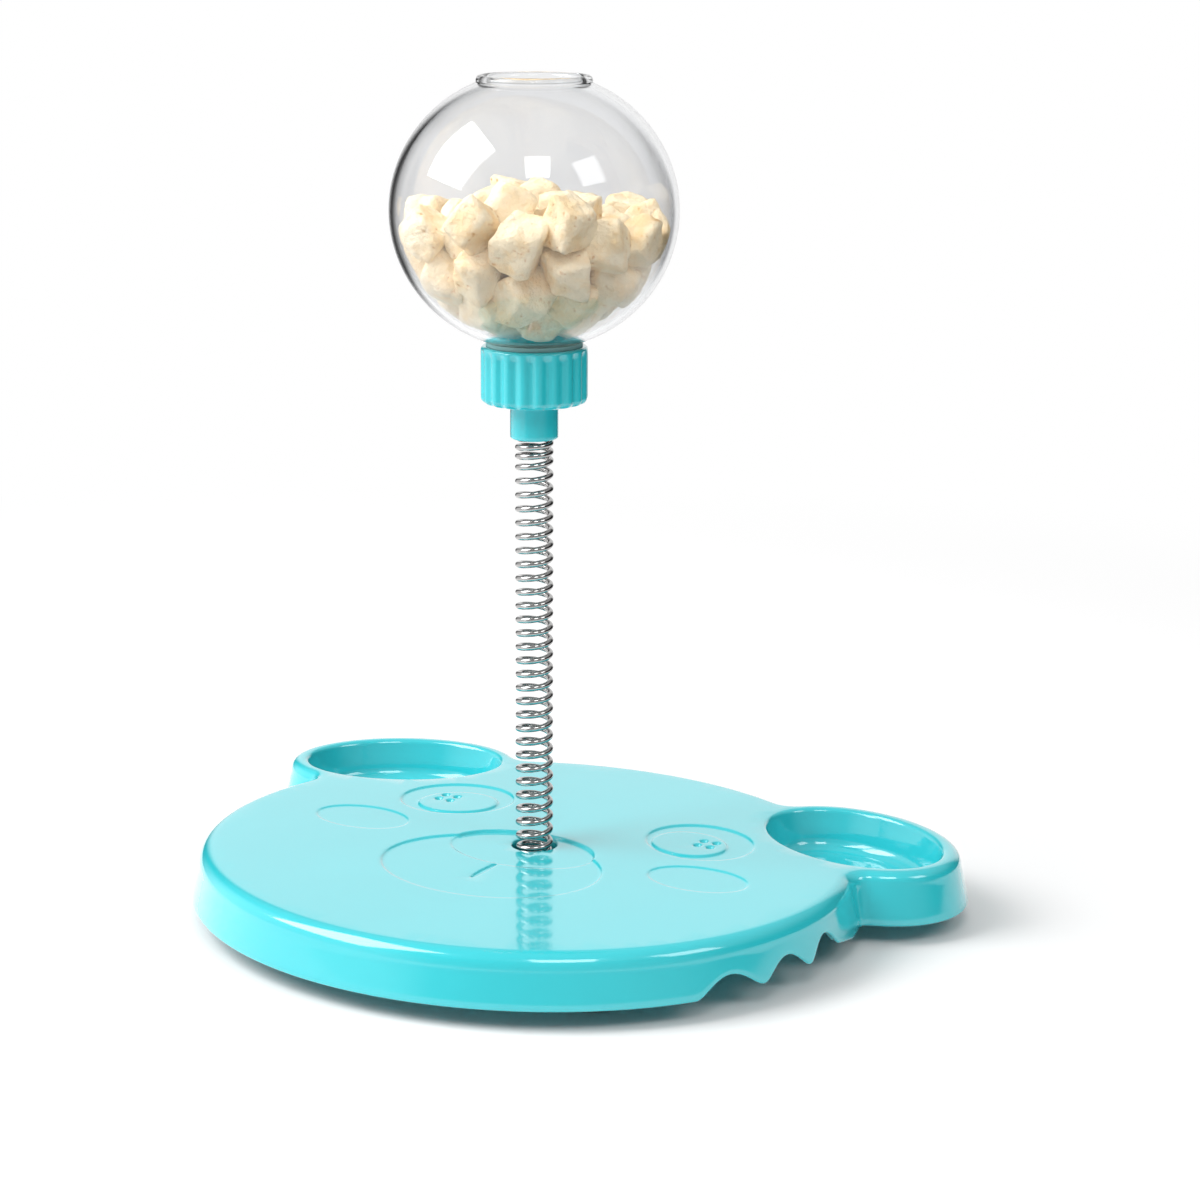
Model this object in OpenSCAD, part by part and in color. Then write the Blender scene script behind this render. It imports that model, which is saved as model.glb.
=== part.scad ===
// Spring treat dispenser: a low animal-face base with two ear bowls, a coil spring,
// a ribbed screw cap and a clear ball with an open top.
// Origin on the floor under the middle of the face, +Y towards the ears, +Z up.

/* [Base] */
// Half width of the face at its lower edge
face_half_w = 92.5; // [86:0.5:100]
// Half depth of the face at its lower edge
face_half_d = 83.4; // [78:0.1:92]
// Height of the skirt from its lower edge to the deck
skirt_h = 14; // [13:0.5:20]
// Gap between the floor and the lower edge of the skirt
floor_gap = 5.5; // [4:0.5:8]
// How far the skirt leans out on its way down
skirt_lean = 3; // [1:0.5:5]
// Radius of the rounded edge between the deck and the skirt
edge_r = 5; // [3:0.5:6]
// Thickness of the moulded shell
shell_wall = 2.4; // [1.8:0.2:3]

/* [Ear bowls] */
// Distance of each bowl from the middle line
ear_x = 73; // [68:0.5:80]
// Distance of each bowl behind the middle of the face
ear_y = 52.4; // [46:0.1:58]
// Half length of the opening of a bowl
bowl_half_l = 28.4; // [24:0.2:30]
// Half width of the opening of a bowl
bowl_half_w = 19.4; // [14:0.2:20]
// Turn of the long axis of the right bowl
bowl_turn = 156; // [135:1:165]
// Depth of a bowl below the deck
bowl_depth = 11; // [9:0.5:12]
// How far the floor of a bowl draws in from its opening
bowl_draw = 9; // [6:0.5:11]
// Width of the rim around a bowl
bowl_rim = 4.6; // [3.6:0.2:6]
// Radius of the outer edge of the rim
rim_edge_r = 3; // [2:0.5:3.5]
// Height of the rim that is solid plastic
rim_solid_h = 5; // [4:0.2:6]

/* [Scalloped cheeks] */
// Number of arches in the lower edge of each cheek
scallops = 3; // [1:1:4]
// Angle of the first arch from the side of the face
scallop_first = -24.6; // [-40:0.2:-15]
// Angle from one arch to the next
scallop_step = 11.4; // [11:0.2:14]
// Half width of an arch
scallop_half_w = 8.8; // [5:0.2:9]
// Height of an arch
scallop_h = 5.5; // [3:0.5:7]

/* [Face relief] */
// Depth of the engraved lines
line_depth = 0.6; // [0.3:0.1:1]
// Width of the engraved lines
line_w = 1.2; // [0.8:0.1:2]
// Distance of each eye from the middle line
eye_x = 38.8; // [36:0.1:44]
// Distance of each eye behind the middle of the face
eye_y = 27.5; // [24:0.1:34]
// Half length of an eye patch
eye_half_l = 16; // [14:0.5:18]
// Half width of an eye patch
eye_half_w = 13.6; // [12:0.2:15]
// Turn of the long axis of the right eye patch
eye_turn = 157; // [140:1:175]
// Radius of a sewn-button eye
button_r = 7.4; // [6:0.1:9]
// Radius of the four holes in a button eye
button_hole_r = 0.9; // [0.6:0.1:1.2]
// Half width of the muzzle
muzzle_half_w = 30.8; // [28:0.2:36]
// Half depth of the muzzle
muzzle_half_d = 24; // [22:0.1:27]
// Place of the muzzle in front of the middle of the face
muzzle_y = -17.5; // [-20:0.1:-12]
// Half width of the nose
nose_half_w = 21; // [18:0.5:24]
// Half depth of the nose
nose_half_d = 13; // [12:0.1:15]
// Distance from the middle of the nose forward to the end of the mouth line
mouth_reach = 26; // [22:0.2:28]
// Half width of a cheek spot
cheek_half_w = 14; // [10:0.1:16]
// Half depth of a cheek spot
cheek_half_d = 9; // [7:0.1:11]
// Distance of each cheek spot from the middle line
cheek_x = 52.6; // [50:0.1:56]

/* [Feet] */
// Radius of a rubber foot
foot_r = 7; // [5:0.5:9]
// Radius of the stem of a foot
foot_stem_r = 2.5; // [2:0.1:3]
// Length of the stem of a foot
foot_stem_h = 5; // [4:0.5:6]
// Radius of the rounded lower edge of a foot
foot_edge_r = 1; // [0.5:0.1:1.5]
// Distance of the front feet from the middle line
front_foot_x = 48; // [40:1:54]
// Distance of the front feet behind the front of the face
front_foot_inset = 36.3; // [32:0.1:44]
// Distance of the rear feet from the middle line
rear_foot_x = 36; // [20:1:38]
// Distance of the rear feet from the back of the face
rear_foot_inset = 26.3; // [22:0.1:30]

/* [Spring] */
// Place of the spring behind the middle of the face
spring_y = 5; // [0:0.1:12]
// Outer diameter of the coil
spring_od = 10.2; // [9:0.1:12]
// Diameter of the wire
wire_d = 1.65; // [1.2:0.05:1.8]
// Rise of one open turn
spring_pitch = 3.75; // [3:0.05:5]
// Rise of one end turn
end_pitch = 2.4; // [2.3:0.05:2.8]
// Number of close turns at the lower end
low_end_turns = 4; // [2:1:5]
// Number of close turns at the upper end
top_end_turns = 6; // [2:1:8]
// Length of spring that shows between the deck and the sleeve of the cap
spring_show = 111; // [90:1:130]

/* [Spring anchors] */
// Clearance between the coil and what it slips into or over
coil_gap = 0.25; // [0.15:0.05:0.4]
// Gap between the end of the coil and its seat
seat_gap = 0.3; // [0.2:0.05:0.5]
// Extra radius of the hole in the deck around the spring
deck_hole_gap = 0.9; // [0.5:0.1:1.5]
// Radius of the plate that closes the spring socket
plate_r = 14; // [13:0.5:17]
// Thickness of that plate
plate_t = 2.5; // [2:0.1:3]
// Height of that plate above the lower edge of the skirt
plate_lift = 0.5; // [0.2:0.1:1]
// Radius of the circle of the plate screws
screw_circle_r = 10.6; // [10:0.1:11]
// Number of plate screws
plate_screws = 3; // [2:1:4]
// Radius of a screw shank
screw_r = 1.1; // [0.9:0.1:1.3]
// Radius of a screw head
screw_head_r = 2.1; // [1.8:0.1:2.6]
// Height of a screw head
screw_head_h = 1.3; // [1:0.1:1.6]
// Length of a plate screw under its head
plate_screw_l = 8; // [6:0.5:9]
// Radial clearance of a screw or stem in its hole
hole_gap = 0.1; // [0.08:0.02:0.2]
// Radius of the posts that take the plate screws
post_r = 3; // [2.6:0.1:3.4]
// Wall of the socket round the lower end of the spring
socket_wall = 2; // [1.6:0.2:2.6]
// Length of the core inside each end of the spring
core_l = 8; // [6:0.5:9]
// Radius of the flange of the upper plug
plug_flange_r = 7; // [5.5:0.5:8]
// Thickness of the flange of the upper plug
plug_flange_t = 1.6; // [1.2:0.1:2]

/* [Cap] */
// Outer diameter over the ribs of the cap
cap_od = 28; // [27:0.2:32]
// Height of the ribbed cap
cap_h = 15; // [14:0.5:18]
// Number of ribs round the cap
ribs = 20; // [16:1:32]
// Depth of the grooves between the ribs
rib_depth = 0.8; // [0.4:0.1:1]
// Radius of the rounded edges of the cap
cap_edge_r = 1.2; // [0.6:0.1:1.4]
// Thickness of the floor of the cap
cap_floor = 2.4; // [2:0.1:3]
// Length of the sleeve below the cap
sleeve_h = 9.5; // [8:0.5:12]
// Wall of the sleeve below the cap
sleeve_wall = 1; // [0.8:0.1:1.6]

/* [Ball] */
// Half width of the ball
ball_half_w = 37.5; // [34:0.5:42]
// Half height of the ball
ball_half_h = 35.75; // [33:0.25:40]
// Wall of the ball
ball_wall = 1.6; // [1.2:0.1:2.2]
// Outer radius of the threaded neck
neck_r = 10.6; // [10:0.1:11]
// Half width of the shoulder where the ball meets its neck
shoulder_r = 12.4; // [12:0.1:14]
// Gap between the end of the neck and the floor of the cap
neck_end_gap = 0.6; // [0.4:0.1:1]
// Radius of the middle of the rounded lip
lip_mid_r = 13.7; // [11:0.1:15]
// Half thickness of the rounded lip
lip_half_t = 1.3; // [1:0.1:2.4]
// Height of the ring between the cap and the shoulder of the ball
ring_h = 1; // [0.8:0.1:1.5]
// Running clearance of that ring on the neck
ring_gap = 0.06; // [0.04:0.01:0.1]
// Clearance between that ring and the faces above and below it
ring_face_gap = 0.05; // [0.03:0.01:0.1]
// How far that ring stays inside the outside of the cap
ring_inset = 1.4; // [1:0.1:1.6]

/* [Screw thread] */
// Rise of the thread in one turn
thread_pitch = 4; // [3.6:0.1:5]
// Height of the ridge of the thread
thread_h = 1; // [0.7:0.05:1.1]
// Clearance between the crest of a ridge and the wall it faces
thread_gap = 0.3; // [0.2:0.05:0.5]
// Width of a ridge at its root
thread_root_w = 1.6; // [1.2:0.1:1.8]
// Width of a ridge at its crest
thread_crest_w = 0.8; // [0.5:0.1:1]
// Turns of the ridge on the neck
neck_thread_turns = 1.5; // [1:0.25:1.5]
// Turns of the ridge in the cap
cap_thread_turns = 1.75; // [1:0.25:1.75]

/* [Hidden] */
$fn = 48;
shell_colour = [0.37, 0.85, 0.87];
steel_colour = [0.78, 0.79, 0.8];
clear_colour = [0.88, 0.93, 0.95, 0.35];
dark_colour = [0.2, 0.21, 0.22];
face_sides = 72;
ear_sides = 40;
bowl_sides = 36;
line_sides = 24;
post_sides = 20;
edge_steps = 4;
eps = 0.01;
sink = 0.4;

deck_z = floor_gap + skirt_h;
deck_under_z = deck_z - shell_wall;
spring_mean_r = (spring_od - wire_d) / 2;
rings_per_turn = 8;
wire_sides = 6;
// The turns are drawn as chords, which come nearer to the axis than the true circle
coil_in_r = spring_mean_r * cos(180 / rings_per_turn) - wire_d / 2;
core_r = coil_in_r - coil_gap;
socket_r = spring_od / 2 + deck_hole_gap;
plate_z = floor_gap + plate_lift;
plate_top_z = plate_z + plate_t;
sleeve_z = deck_z + spring_show;
cap_z = sleeve_z + sleeve_h;
cap_floor_z = cap_z + cap_floor;
cap_top_z = cap_z + cap_h;
cap_bore_r = neck_r + thread_h + thread_gap;
sleeve_bore_r = spring_od / 2 + coil_gap;
ring_z = cap_top_z + ring_face_gap;
shoulder_z = ring_z + ring_h + ring_face_gap;
neck_z = cap_floor_z + neck_end_gap;
neck_bore_r = neck_r - ball_wall;
ball_z = shoulder_z + ball_half_h * sqrt(1 - pow(shoulder_r / ball_half_w, 2));
lip_z = ball_z + ball_half_h * sqrt(1 - pow(lip_mid_r / ball_half_w, 2));
neck_thread_z = neck_z + thread_root_w;
cap_thread_z = neck_thread_z - thread_pitch / 2;
coil_low_z = plate_top_z + seat_gap + wire_d / 2;
coil_top_z = cap_z - seat_gap - wire_d / 2;
end_rise = (low_end_turns + top_end_turns) * end_pitch;
open_turns = (coil_top_z - coil_low_z - end_rise) / spring_pitch;
coil_turns = low_end_turns + open_turns + top_end_turns;

function oval(a, b, n) = [for (i = [0:n - 1]) [a * cos(360 * i / n), b * sin(360 * i / n)]];

// Outline of a moulded wall, as an offset from its lower edge and a height above it
function skirt_profile(h, lean, r) =
    let (lean_part = lean * (h - r) / h)
    concat([[0, 0], [-lean_part, h - r]],
        [for (k = [1:edge_steps])
            let (a = 90 * k / edge_steps)
            [-lean_part - r * (1 - cos(a)), h - r + r * sin(a)]]);

// Smooth hull of ovals, one for each point of a profile. Each is a flat pyramid that points
// into the hull, so that it leaves one ring of corners there
module oval_loft(a, b, n, profile) {
    lowest = min([for (p = profile) p[1]]);
    hull()
        for (p = profile)
            translate([0, 0, p[1]])
                mirror([0, 0, p[1] > lowest ? 1 : 0])
                    linear_extrude(eps, scale = 0.5)
                        polygon(oval(a + p[0], b + p[0], n));
}

module at_right_ear() {
    translate([ear_x, ear_y, 0])
        rotate(bowl_turn)
            children();
}

module both_sides() {
    children();
    mirror([1, 0, 0])
        children();
}

module outer_form() {
    face = skirt_profile(skirt_h, skirt_lean, edge_r);
    ear = skirt_profile(skirt_h, skirt_lean, rim_edge_r);
    grow = bowl_rim + skirt_lean;
    translate([0, 0, floor_gap]) {
        oval_loft(face_half_w, face_half_d, face_sides, face);
        both_sides()
            at_right_ear()
                oval_loft(bowl_half_l + grow, bowl_half_w + grow, ear_sides, ear);
    }
}

module inner_form() {
    face = skirt_profile(skirt_h - shell_wall, skirt_lean, edge_r - shell_wall / 2);
    ear_h = skirt_h - rim_solid_h;
    ear = [[0, 0], [-skirt_lean * ear_h / skirt_h, ear_h]];
    grow = bowl_rim + skirt_lean - shell_wall;
    translate([0, 0, floor_gap]) {
        oval_loft(face_half_w - shell_wall, face_half_d - shell_wall, face_sides, concat([[0, -1]], face));
        both_sides()
            at_right_ear()
                oval_loft(bowl_half_l + grow, bowl_half_w + grow, ear_sides, concat([[0, -1]], ear));
    }
}

// One bowl, drawn in towards its flat floor, grown outwards by a wall. Each step of its side
// is a share of the draw and a share of the depth
module bowl_form(grow, top) {
    steps = [[0.08, 0.3], [0.3, 0.65], [0.62, 0.9], [1, 1]];
    side = [for (s = steps) [-s[0] * bowl_draw, -s[1] * (bowl_depth + grow)]];
    profile = concat([[0, top], [0, min(top, 0)]], side);
    translate([0, 0, deck_z])
        at_right_ear()
            oval_loft(bowl_half_l + grow, bowl_half_w + grow, bowl_sides, profile);
}

// Oval line sunk into the deck
module oval_line(x, y, turn, a, b) {
    translate([x, y, deck_z - line_depth])
        rotate(turn)
            linear_extrude(line_depth + 1)
                difference() {
                    polygon(oval(a + line_w / 2, b + line_w / 2, line_sides));
                    polygon(oval(a - line_w / 2, b - line_w / 2, line_sides));
                }
}

module face_lines() {
    nose_y = spring_y - nose_half_d / 2;
    oval_line(0, muzzle_y, 0, muzzle_half_w, muzzle_half_d);
    oval_line(0, nose_y, 0, nose_half_w, nose_half_d);
    translate([-line_w / 2, nose_y - mouth_reach, deck_z - line_depth])
        cube([line_w, mouth_reach - nose_half_d, line_depth + 1]);
    both_sides() {
        oval_line(eye_x, eye_y, eye_turn, eye_half_l, eye_half_w);
        oval_line(eye_x, eye_y, 0, button_r, button_r);
        oval_line(cheek_x, 0, 0, cheek_half_w, cheek_half_d);
        for (i = [0:3])
            translate([eye_x, eye_y, deck_z - line_depth])
                rotate(90 * i)
                    translate([button_r * 0.35, 0, 0])
                        cylinder(r = button_hole_r, h = line_depth + 1, $fn = post_sides);
    }
}

// Pointed arches cut into the lower edge of the right cheek
module cheek_arches() {
    arch = oval(scallop_half_w, scallop_h, 2 * post_sides);
    for (i = [0:scallops - 1])
        rotate(scallop_first + i * scallop_step)
            translate([face_half_w / 2, 0, floor_gap])
                rotate([90, 0, 90])
                    linear_extrude(face_half_w)
                        polygon(arch);
}

// Calls its children at each foot, right side first
module foot_place(side, front) {
    x = front ? front_foot_x : rear_foot_x;
    y = front ? front_foot_inset - face_half_d : face_half_d - rear_foot_inset;
    translate([side * x, y, 0])
        children();
}

module all_foot_places() {
    for (side = [-1, 1], front = [true, false])
        foot_place(side, front)
            children();
}

module plate_screw_places() {
    for (i = [0:plate_screws - 1])
        rotate(90 + 360 * i / plate_screws)
            translate([screw_circle_r, 0, 0])
                children();
}

module base_shell() {
    color(shell_colour)
        difference() {
            union() {
                difference() {
                    outer_form();
                    inner_form();
                }
                both_sides()
                    bowl_form(shell_wall, -rim_solid_h / 2);
                translate([0, spring_y, 0]) {
                    translate([0, 0, plate_top_z])
                        cylinder(r = socket_r + socket_wall, h = deck_under_z + sink - plate_top_z);
                    plate_screw_places()
                        translate([0, 0, plate_top_z])
                            cylinder(r = post_r, h = deck_under_z + sink - plate_top_z, $fn = post_sides);
                }
                all_foot_places()
                    translate([0, 0, floor_gap])
                        cylinder(r = foot_stem_r + shell_wall, h = skirt_h - shell_wall + sink, $fn = post_sides);
            }
            both_sides()
                bowl_form(0, 1);
            translate([0, spring_y, plate_top_z - 1])
                cylinder(r = socket_r, h = deck_z - plate_top_z + 2);
            translate([0, spring_y, plate_top_z - 1])
                plate_screw_places()
                    cylinder(r = screw_r + hole_gap, h = plate_screw_l - plate_t + 2, $fn = post_sides);
            all_foot_places()
                translate([0, 0, floor_gap - 1])
                    cylinder(r = foot_stem_r + hole_gap, h = foot_stem_h + 1.5, $fn = 32);
            face_lines();
            both_sides()
                cheek_arches();
        }
}

// Rubber foot with a stem that pushes into a post of the shell
module foot() {
    color(dark_colour)
        rotate_extrude()
            union() {
                square([foot_r - foot_edge_r, floor_gap]);
                translate([0, foot_edge_r])
                    square([foot_r, floor_gap - foot_edge_r]);
                translate([foot_r - foot_edge_r, foot_edge_r])
                    circle(foot_edge_r);
                square([foot_stem_r, floor_gap + foot_stem_h]);
            }
}

module foot_front_left() {
    foot_place(-1, true)
        foot();
}

module foot_front_right() {
    foot_place(1, true)
        foot();
}

module foot_rear_left() {
    foot_place(-1, false)
        foot();
}

module foot_rear_right() {
    foot_place(1, false)
        foot();
}

// Screw that points along +Z, with the underside of its head at zero
module screw(shank_l) {
    color(steel_colour) {
        translate([0, 0, -screw_head_h / 4])
            cylinder(r = screw_r, h = shank_l + screw_head_h / 4);
        translate([0, 0, -screw_head_h])
            difference() {
                cylinder(r = screw_head_r, h = screw_head_h);
                for (turn = [0, 90])
                    rotate(turn)
                        translate([-screw_r, -screw_r / 4, -eps])
                            cube([2 * screw_r, screw_r / 2, screw_head_h / 2]);
            }
    }
}

// Plate that closes the spring socket, with a core that stands inside the coil
module anchor_plate() {
    color(shell_colour)
        translate([0, spring_y, plate_z])
            difference() {
                union() {
                    cylinder(r = plate_r, h = plate_t);
                    cylinder(r = core_r, h = plate_t + core_l);
                }
                translate([0, 0, -1])
                    cylinder(r = screw_r + hole_gap, h = plate_t + core_l + 2);
                plate_screw_places()
                    translate([0, 0, -1])
                        cylinder(r = screw_r + hole_gap, h = plate_t + 2);
            }
}

module anchor_screws() {
    translate([0, spring_y, plate_z])
        plate_screw_places()
            screw(plate_screw_l);
}

module anchor_core_screw() {
    translate([0, spring_y, plate_z])
        screw(plate_t + core_l - 1);
}

// Height of the coil after a number of turns, closer at both ends
function coil_z(t) =
    let (low = min(t, low_end_turns))
    let (mid = min(max(t - low_end_turns, 0), open_turns))
    let (top = max(t - low_end_turns - open_turns, 0))
    coil_low_z + (low + top) * end_pitch + mid * spring_pitch;

function coil_at(t) = [spring_mean_r * cos(360 * t), spring_mean_r * sin(360 * t), coil_z(t)];

function coil_ring(centre, t) =
    let (out = [cos(360 * t), sin(360 * t), 0])
    [for (k = [0:wire_sides - 1])
        let (a = 360 * k / wire_sides)
        centre + wire_d / 2 * (cos(a) * out + [0, 0, sin(a)])];

module coil_spring() {
    steps = ceil(coil_turns * rings_per_turn);
    turn_at = [for (i = [0:steps]) coil_turns * i / steps];
    centres = [for (t = turn_at) coil_at(t)];
    start_dir = [0, -1, 0];
    end_dir = [-sin(360 * coil_turns), cos(360 * coil_turns), 0];
    rings = concat([coil_ring(centres[0] + wire_d * start_dir, 0)],
        [for (i = [0:steps]) coil_ring(centres[i], turn_at[i])],
        [coil_ring(centres[steps] + wire_d * end_dir, coil_turns)]);
    points = [for (r = rings, p = r) p];
    n = wire_sides;
    last = (len(rings) - 1) * n;
    sides = [for (i = [0:len(rings) - 2], k = [0:n - 1])
        let (a = i * n + k)
        let (b = i * n + (k + 1) % n)
        each [[a, a + n, b], [b, a + n, b + n]]];
    caps = [for (k = [1:n - 2]) each [[0, k, k + 1], [last, last + k + 1, last + k]]];
    apart = [for (i = [0:steps], j = [i + rings_per_turn / 2:i + 3 * rings_per_turn / 2])
        if (j <= steps) norm(centres[i] - centres[j])];
    echo(least_gap_between_turns = min(apart) - wire_d);
    color(steel_colour)
        translate([0, spring_y, 0])
            polyhedron(points = points, faces = concat(sides, caps), convexity = 10);
}

// Ridge of a screw thread: root radius, direction of the crest, start height and turns
module thread_ridge(root_r, outward, start_z, turns) {
    per_turn = 24;
    steps = ceil(turns * per_turn);
    root = root_r - outward * sink;
    crest = root_r + outward * thread_h;
    section = [[root, -thread_root_w / 2], [crest, -thread_crest_w / 2],
        [crest, thread_crest_w / 2], [root, thread_root_w / 2]];
    points = [for (i = [0:steps], s = section)
        let (t = turns * i / steps)
        [s[0] * cos(360 * t), s[0] * sin(360 * t), start_z + thread_pitch * t + s[1]]];
    last = 4 * steps;
    sides = [for (i = [0:steps - 1], k = [0:3])
        let (a = 4 * i + k)
        let (b = 4 * i + (k + 1) % 4)
        each outward > 0 ? [[a, b, a + 4], [b, b + 4, a + 4]] : [[a, a + 4, b], [b, a + 4, b + 4]]];
    ends = [[0, 2, 1], [0, 3, 2], [last, last + 1, last + 2], [last, last + 2, last + 3]];
    caps = outward > 0 ? ends : [for (f = ends) [f[0], f[2], f[1]]];
    polyhedron(points = points, faces = concat(sides, caps), convexity = 6);
}

// Ribbed outside of the cap as a wavy outline
function rib_outline() =
    let (per_rib = 6)
    [for (i = [0:ribs * per_rib - 1])
        let (a = 360 * i / (ribs * per_rib))
        let (r = cap_od / 2 - rib_depth * (1 - cos(ribs * a)) / 2)
        [r * cos(a), r * sin(a)]];

module screw_cap() {
    color(shell_colour)
        translate([0, spring_y, 0]) {
            difference() {
                union() {
                    intersection() {
                        translate([0, 0, cap_z])
                            linear_extrude(cap_h)
                                polygon(rib_outline());
                        translate([0, 0, cap_z])
                            rotate_extrude()
                                rounded_half(cap_od / 2, cap_h, cap_edge_r);
                    }
                    translate([0, 0, sleeve_z])
                        cylinder(r = sleeve_bore_r + sleeve_wall, h = sleeve_h + sink);
                }
                translate([0, 0, cap_floor_z])
                    cylinder(r = cap_bore_r, h = cap_h);
                translate([0, 0, sleeve_z - 1])
                    cylinder(r = sleeve_bore_r, h = sleeve_h + 1);
                translate([0, 0, sleeve_z])
                    cylinder(r = core_r + hole_gap, h = sleeve_h + cap_floor + 1);
            }
            thread_ridge(cap_bore_r, -1, cap_thread_z, cap_thread_turns);
        }
}

// Half section of a disc with rounded outer edges
module rounded_half(r, h, edge) {
    square([r - edge, h]);
    translate([0, edge])
        square([r, h - 2 * edge]);
    for (z = [edge, h - edge])
        translate([r - edge, z])
            circle(edge, $fn = 24);
}

// Plug whose core stands inside the upper end of the coil
module cap_plug() {
    color(shell_colour)
        translate([0, spring_y, cap_floor_z])
            difference() {
                union() {
                    cylinder(r = plug_flange_r, h = plug_flange_t);
                    translate([0, 0, -cap_floor - core_l])
                        cylinder(r = core_r, h = core_l + cap_floor + eps);
                }
                translate([0, 0, -cap_floor - core_l - 1])
                    cylinder(r = screw_r + hole_gap, h = core_l + cap_floor + plug_flange_t + 2);
            }
}

module cap_plug_screw() {
    translate([0, spring_y, cap_floor_z + plug_flange_t])
        mirror([0, 0, 1])
            screw(plug_flange_t + cap_floor + core_l - 1);
}

module neck_ring() {
    inner = neck_r + ring_gap;
    color(dark_colour)
        translate([0, spring_y, ring_z])
            rotate_extrude()
                translate([inner, 0])
                    square([cap_od / 2 - ring_inset - inner, ring_h]);
}

function ball_arc(a, b, from, to, n) =
    [for (i = [0:n])
        let (f = from + (to - from) * i / n)
        [a * cos(f), ball_z + b * sin(f)]];

module treat_ball() {
    steps = 24;
    in_w = ball_half_w - ball_wall;
    in_h = ball_half_h - ball_wall;
    out_low = -acos(shoulder_r / ball_half_w);
    out_high = acos(lip_mid_r / ball_half_w);
    in_low = -acos(neck_bore_r / in_w);
    in_high = acos(lip_mid_r / in_w);
    section = concat([[neck_bore_r, neck_z], [neck_r, neck_z], [neck_r, shoulder_z]],
        ball_arc(ball_half_w, ball_half_h, out_low, out_high, steps),
        ball_arc(in_w, in_h, in_high, in_low, steps));
    color(clear_colour)
        translate([0, spring_y, 0]) {
            rotate_extrude()
                union() {
                    polygon(section);
                    translate([lip_mid_r, lip_z])
                        circle(lip_half_t, $fn = 32);
                }
            thread_ridge(neck_r, 1, neck_thread_z, neck_thread_turns);
        }
}

base_shell();
foot_front_left();
foot_front_right();
foot_rear_left();
foot_rear_right();
anchor_plate();
anchor_screws();
anchor_core_screw();
coil_spring();
screw_cap();
cap_plug();
cap_plug_screw();
neck_ring();
treat_ball();
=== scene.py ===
import math

import bmesh
import bpy
import numpy as np
from mathutils import Matrix, Vector
from mathutils.geometry import delaunay_2d_cdt


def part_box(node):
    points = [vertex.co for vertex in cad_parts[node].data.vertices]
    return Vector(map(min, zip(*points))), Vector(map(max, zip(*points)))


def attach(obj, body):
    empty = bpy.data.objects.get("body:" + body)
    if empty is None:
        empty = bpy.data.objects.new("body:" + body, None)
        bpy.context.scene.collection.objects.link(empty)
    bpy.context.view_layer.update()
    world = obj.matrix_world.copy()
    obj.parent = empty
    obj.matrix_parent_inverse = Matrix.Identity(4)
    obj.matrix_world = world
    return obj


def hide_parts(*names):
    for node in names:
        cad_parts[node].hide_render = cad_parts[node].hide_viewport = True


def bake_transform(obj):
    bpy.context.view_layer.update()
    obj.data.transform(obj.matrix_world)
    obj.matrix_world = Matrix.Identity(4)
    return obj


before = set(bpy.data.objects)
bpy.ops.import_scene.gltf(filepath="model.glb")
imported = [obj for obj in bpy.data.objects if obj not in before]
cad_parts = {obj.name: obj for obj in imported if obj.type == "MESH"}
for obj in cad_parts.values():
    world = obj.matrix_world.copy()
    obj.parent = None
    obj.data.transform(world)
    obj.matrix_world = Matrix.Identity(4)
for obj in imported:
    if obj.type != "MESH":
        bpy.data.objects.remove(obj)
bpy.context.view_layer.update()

mm = 0.001
tau = 2 * math.pi
rng = np.random.default_rng(23)


def nodeSpan(name):  # lowest and highest corner of a CAD node, in millimetres
    low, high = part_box(name)
    return np.array(low) / mm, np.array(high) / mm


shellLow, shellHigh = nodeSpan("base_shell")
capLow, capHigh = nodeSpan("screw_cap")
coilLow, coilHigh = nodeSpan("coil_spring")
neckLow = nodeSpan("treat_ball")[0][2]
axisX, axisY = 0.0, (capLow[1] + capHigh[1]) / 2
deckZ = shellHigh[2]
lowZ = shellLow[2]


class Flow:  # an output socket that can be added, multiplied and passed on
    def __init__(self, tree, out):
        self.tree, self.out = tree, out

    def put(self, kind, inputs=(), out=0, **settings):
        node = self.tree.nodes.new("ShaderNode" + kind)
        for key, value in settings.items():
            setattr(node, key, value)
        for key, value in dict(inputs).items():
            if isinstance(value, Flow):
                self.tree.links.new(value.out, node.inputs[key])
            else:
                node.inputs[key].default_value = value
        return Flow(self.tree, node.outputs[out])

    def calc(self, operation, first, second):
        return self.put("Math", {0: first, 1: second}, operation=operation)

    def __add__(self, other): return self.calc("ADD", self, other)
    def __radd__(self, other): return self.calc("ADD", other, self)
    def __mul__(self, other): return self.calc("MULTIPLY", self, other)
    def __rmul__(self, other): return self.calc("MULTIPLY", other, self)


def spread(flow, low, high, toLow=0.0, toHigh=1.0):  # smooth step from one range to another
    sockets = {0: flow, 1: low, 2: high, 3: toLow, 4: toHigh}
    return flow.put("MapRange", sockets, interpolation_type="SMOOTHSTEP")


def blendColour(factor, first, second):
    return factor.put("Mix", {0: factor, 6: first, 7: second}, out=2, data_type="RGBA")


def linear(red, green, blue):  # display colour from 0 to 255, as linear light
    share = np.array([red, green, blue]) / 255
    light = np.where(share <= 0.04045, share / 12.92, ((share + 0.055) / 1.055) ** 2.4)
    return tuple(light.tolist()) + (1.0,)


def startMaterial(name):
    material = bpy.data.materials.new(name)
    material.use_nodes = True
    tree = material.node_tree
    place = tree.nodes.new("ShaderNodeTexCoord")
    return material, tree.nodes["Principled BSDF"], Flow(tree, place.outputs["Object"])


def feed(flow, node, **sockets):  # sets or links the sockets of a shader, named without spaces
    named = {socket.name.replace(" ", ""): socket for socket in node.inputs}
    for key, value in sockets.items():
        if isinstance(value, Flow):
            flow.tree.links.new(value.out, named[key])
        else:
            named[key].default_value = value


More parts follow.
